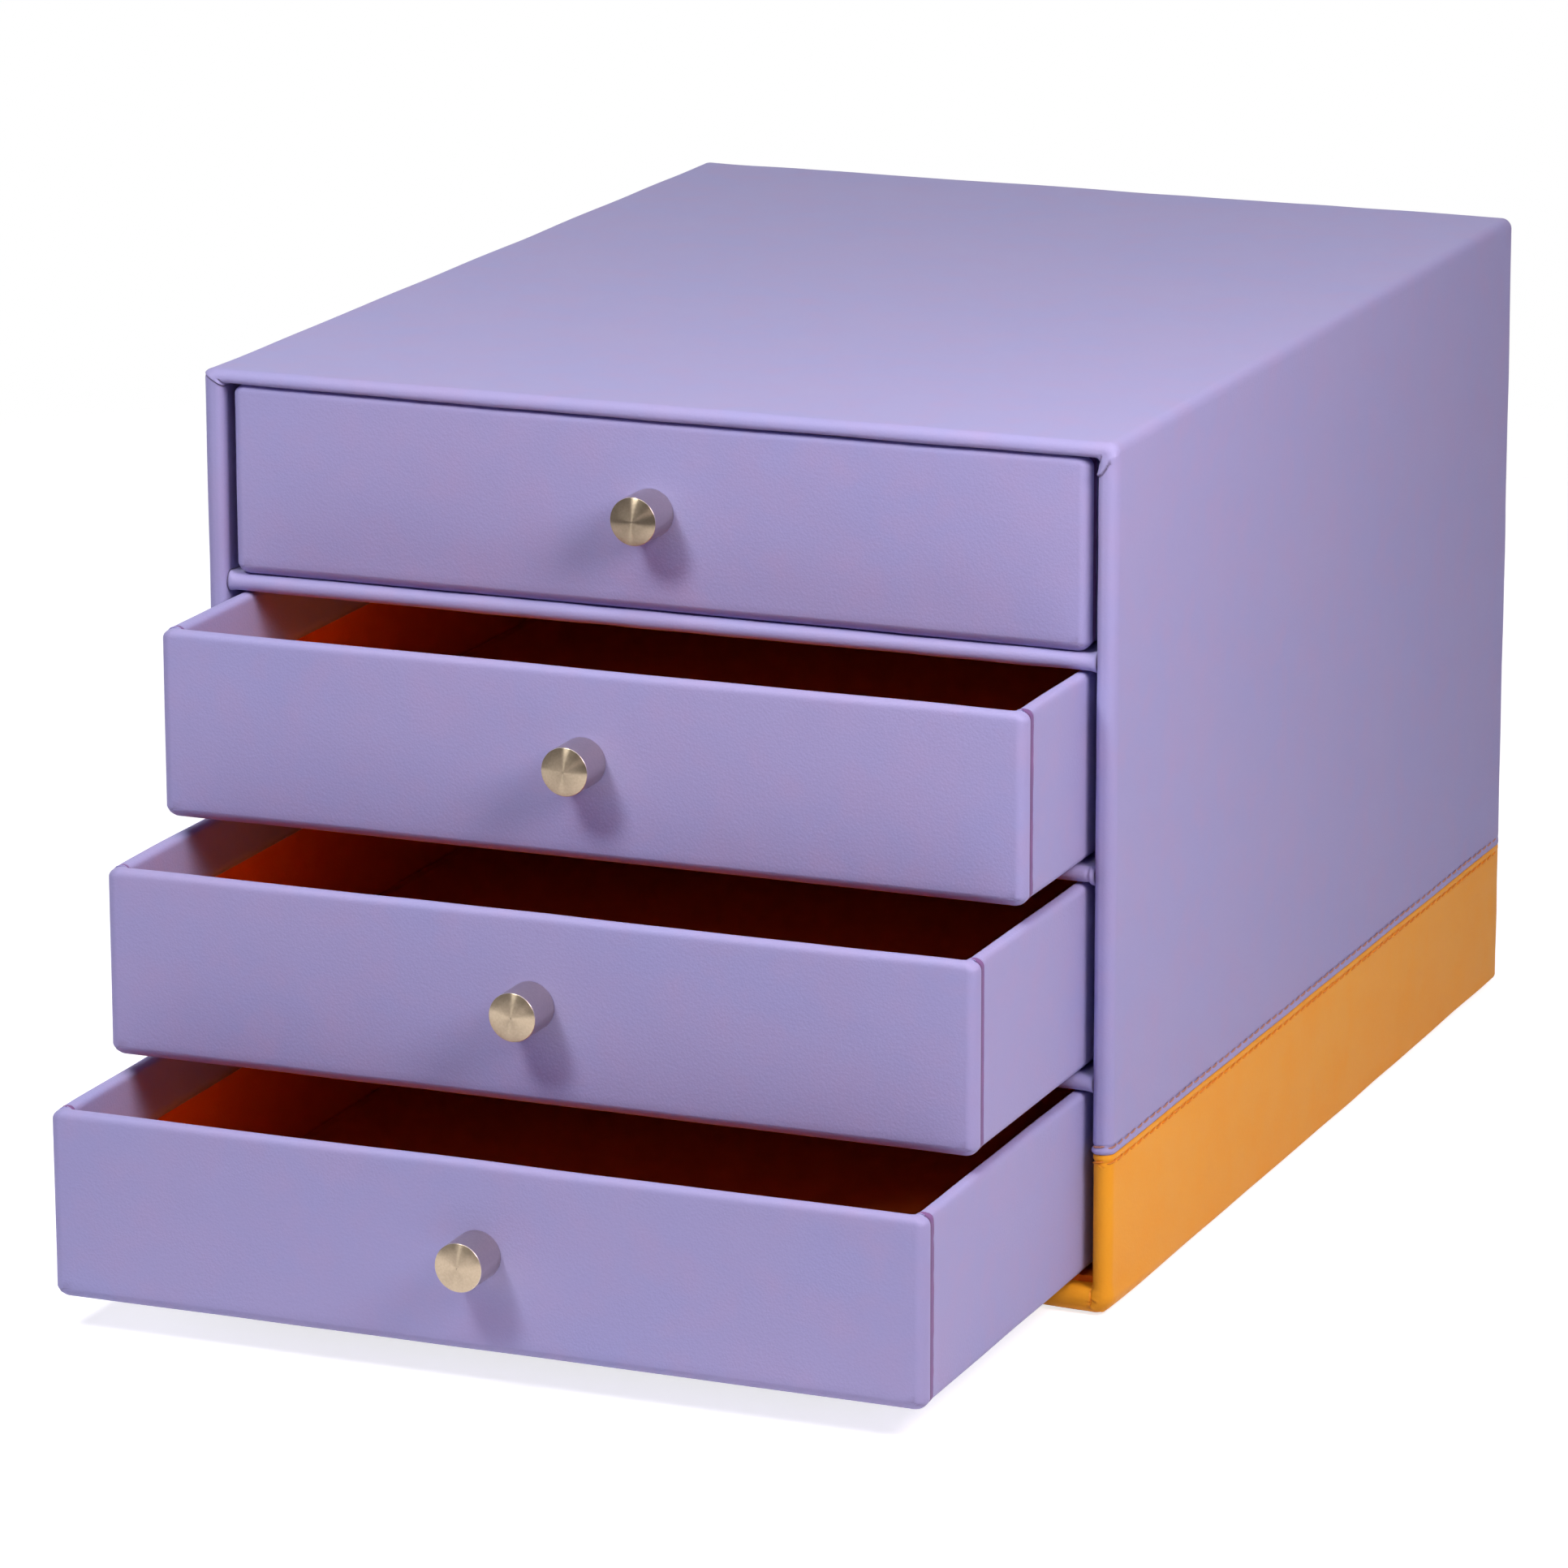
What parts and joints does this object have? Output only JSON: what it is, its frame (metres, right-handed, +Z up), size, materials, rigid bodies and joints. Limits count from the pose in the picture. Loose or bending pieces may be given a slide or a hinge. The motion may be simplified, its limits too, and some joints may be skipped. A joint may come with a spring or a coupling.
{
  "type": "desktop drawer chest",
  "caption": "Low desktop chest covered in leatherette, with open-top drawers that slide out on shelves and hold documents and stationery.",
  "frame": {"origin": "centre of the case's footprint, on the surface that the liner rests on", "axes": "+Z up, the drawers open towards -Y, +X to the right as seen from the front"},
  "size_m": [0.26, 0.4701, 0.234],
  "materials": {
    "lavender_leatherette": "pale lavender leatherette with a fine grain and a soft sheen",
    "orange_leatherette": "light orange leatherette with a fine grain and a soft sheen",
    "orange_lining": "deep orange matt lining",
    "greyboard": "bare grey board, hidden under the covers",
    "brushed_steel": "turned face with fine rings, satin side",
    "screw_steel": "plain zinc-plated screw",
    "base_liner": "thin black felt"
  },
  "bodies": {
    "case": {"base_liner": "base_liner", "base_board": "greyboard", "left_side_board": "greyboard", "right_side_board": "greyboard", "top_board": "greyboard", "back_board": "greyboard", "upper_cover": "lavender_leatherette", "base_cover": "orange_leatherette", "back_panel": "lavender_leatherette", "case_lining": "lavender_leatherette", "floor_panel": "orange_lining", "shelf_1_board": "greyboard", "shelf_1_cover": "lavender_leatherette", "shelf_2_board": "greyboard", "shelf_2_cover": "lavender_leatherette", "shelf_3_board": "greyboard", "shelf_3_cover": "lavender_leatherette"},
    "drawer_1": {"drawer_1_front_board": "greyboard", "drawer_1_left_board": "greyboard", "drawer_1_right_board": "greyboard", "drawer_1_back_board": "greyboard", "drawer_1_floor_board": "greyboard", "drawer_1_front_cover": "lavender_leatherette", "drawer_1_wall_cover": "lavender_leatherette", "drawer_1_wall_lining": "orange_lining", "drawer_1_floor_lining": "orange_lining", "drawer_1_knob": "brushed_steel", "drawer_1_knob_screw": "screw_steel"},
    "drawer_2": {"drawer_2_front_board": "greyboard", "drawer_2_left_board": "greyboard", "drawer_2_right_board": "greyboard", "drawer_2_back_board": "greyboard", "drawer_2_floor_board": "greyboard", "drawer_2_front_cover": "lavender_leatherette", "drawer_2_wall_cover": "lavender_leatherette", "drawer_2_wall_lining": "orange_lining", "drawer_2_floor_lining": "orange_lining", "drawer_2_knob": "brushed_steel", "drawer_2_knob_screw": "screw_steel"},
    "drawer_3": {"drawer_3_front_board": "greyboard", "drawer_3_left_board": "greyboard", "drawer_3_right_board": "greyboard", "drawer_3_back_board": "greyboard", "drawer_3_floor_board": "greyboard", "drawer_3_front_cover": "lavender_leatherette", "drawer_3_wall_cover": "lavender_leatherette", "drawer_3_wall_lining": "orange_lining", "drawer_3_floor_lining": "orange_lining", "drawer_3_knob": "brushed_steel", "drawer_3_knob_screw": "screw_steel"},
    "drawer_4": {"drawer_4_front_board": "greyboard", "drawer_4_left_board": "greyboard", "drawer_4_right_board": "greyboard", "drawer_4_back_board": "greyboard", "drawer_4_floor_board": "greyboard", "drawer_4_front_cover": "lavender_leatherette", "drawer_4_wall_cover": "lavender_leatherette", "drawer_4_wall_lining": "orange_lining", "drawer_4_floor_lining": "orange_lining", "drawer_4_knob": "brushed_steel", "drawer_4_knob_screw": "screw_steel"}
  },
  "joints": [
    {"name": "drawer_1_slide", "type": "slide", "parent": "case", "child": "drawer_1", "axis": [0, -1, 0], "range_m": [0, 0.25]},
    {"name": "drawer_2_slide", "type": "slide", "parent": "case", "child": "drawer_2", "axis": [0, -1, 0], "range_m": [-0.0452, 0.2048]},
    {"name": "drawer_3_slide", "type": "slide", "parent": "case", "child": "drawer_3", "axis": [0, -1, 0], "range_m": [-0.0792, 0.1708]},
    {"name": "drawer_4_slide", "type": "slide", "parent": "case", "child": "drawer_4", "axis": [0, -1, 0], "range_m": [-0.1137, 0.1363]}
  ]
}
